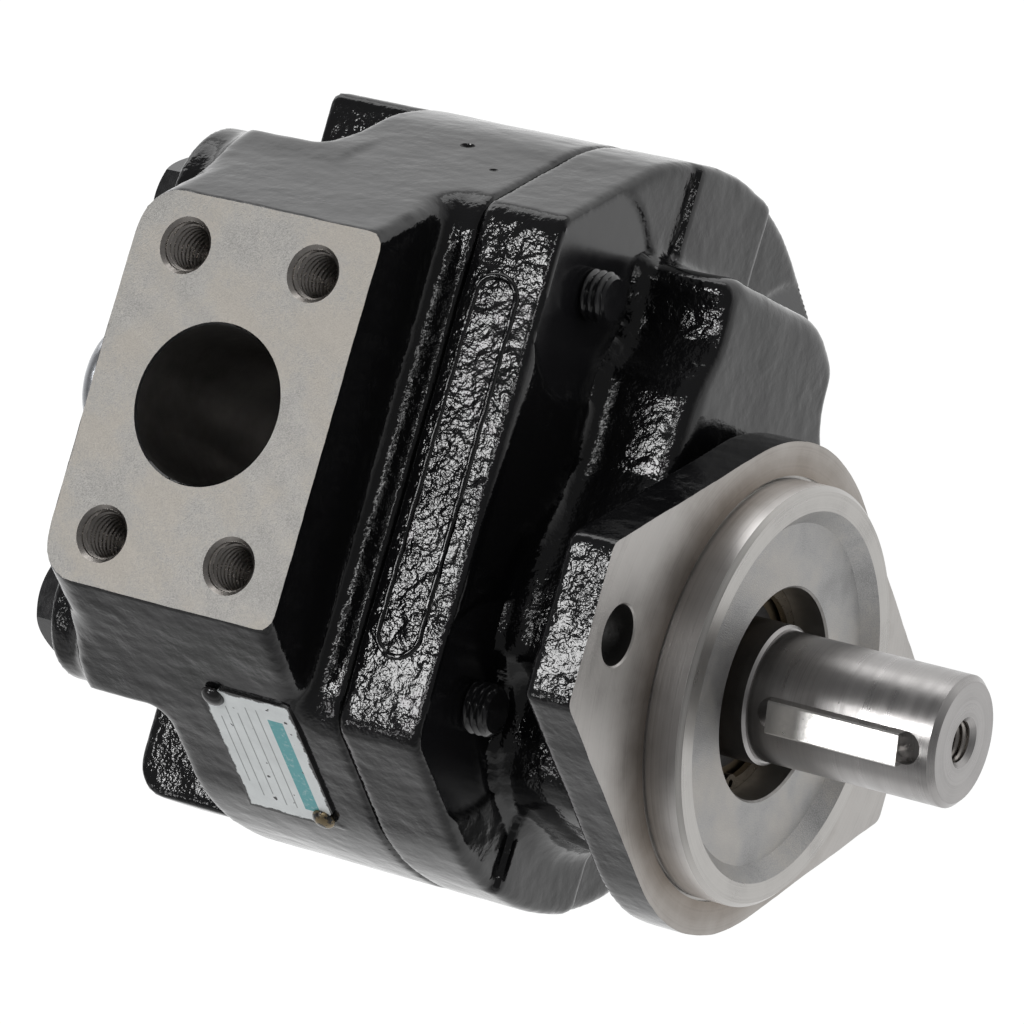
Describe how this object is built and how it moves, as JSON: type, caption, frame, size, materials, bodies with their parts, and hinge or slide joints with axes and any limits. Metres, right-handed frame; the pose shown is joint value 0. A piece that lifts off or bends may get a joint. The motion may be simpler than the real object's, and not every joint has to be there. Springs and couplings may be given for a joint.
{
  "type": "hydraulic gear pump",
  "caption": "external gear pump: keyed drive shaft and gear meshing with a driven gear in a cast-iron casing, two-bolt pilot flange, flanged inlet and outlet ports",
  "frame": {"origin": "on the drive shaft's axis, in the mounting face of the flange", "axes": "+X along the drive shaft out of its end, +Y from the drive shaft towards the driven gear, +Z the outward normal of the inlet port"},
  "size_m": [0.2279, 0.184, 0.1944],
  "materials": {
    "front_cover": "gloss black paint over cast iron, bare machined flange and pilot",
    "pump_body": "gloss black paint over cast iron, bare milled port face",
    "drive_gear_shaft": "ground case-hardened steel",
    "driven_gear_shaft": "ground case-hardened steel",
    "shaft_key": "bright drawn steel",
    "front_drive_bush": "bored bronze",
    "front_driven_bush": "bored bronze",
    "rear_drive_bush": "bored bronze",
    "rear_driven_bush": "bored bronze",
    "front_thrust_plate": "ground bronze",
    "rear_thrust_plate": "ground bronze",
    "front_balance_seal": "moulded rubber",
    "rear_balance_seal": "moulded rubber",
    "casing_seal": "moulded rubber",
    "shaft_seal_case": "pressed steel",
    "shaft_seal_lip": "moulded rubber",
    "shaft_seal_spring": "spring steel",
    "seal_retaining_ring": "oiled spring steel",
    "casing_screws": "gloss black paint over steel",
    "dowel_pins": "ground steel",
    "rear_port_plug": "plated steel",
    "rear_plug_seal": "moulded rubber",
    "nameplate": "blank satin aluminium",
    "nameplate_rivets": "drive rivets, partly painted over"
  },
  "bodies": {
    "casing": {"front_cover": "front_cover", "pump_body": "pump_body", "front_drive_bush": "front_drive_bush", "front_driven_bush": "front_driven_bush", "rear_drive_bush": "rear_drive_bush", "rear_driven_bush": "rear_driven_bush", "front_thrust_plate": "front_thrust_plate", "rear_thrust_plate": "rear_thrust_plate", "front_balance_seal": "front_balance_seal", "rear_balance_seal": "rear_balance_seal", "casing_seal": "casing_seal", "shaft_seal_case": "shaft_seal_case", "shaft_seal_lip": "shaft_seal_lip", "shaft_seal_spring": "shaft_seal_spring", "seal_retaining_ring": "seal_retaining_ring", "casing_screws": "casing_screws", "dowel_pins": "dowel_pins", "rear_port_plug": "rear_port_plug", "rear_plug_seal": "rear_plug_seal", "nameplate": "nameplate", "nameplate_rivets": "nameplate_rivets"},
    "drive": {"drive_gear_shaft": "drive_gear_shaft", "shaft_key": "shaft_key"},
    "driven": {"driven_gear_shaft": "driven_gear_shaft"}
  },
  "joints": [
    {"name": "drive_spin", "type": "hinge", "parent": "casing", "child": "drive", "pos_m": [0, 0, 0], "axis": [1, 0, 0], "continuous": true},
    {"name": "driven_spin", "type": "hinge", "parent": "casing", "child": "driven", "pos_m": [0, 0.054, 0], "axis": [1, 0, 0], "continuous": true}
  ],
  "couplings": [
    {"joint": "driven_spin", "follows": "drive_spin", "ratio": -1}
  ]
}
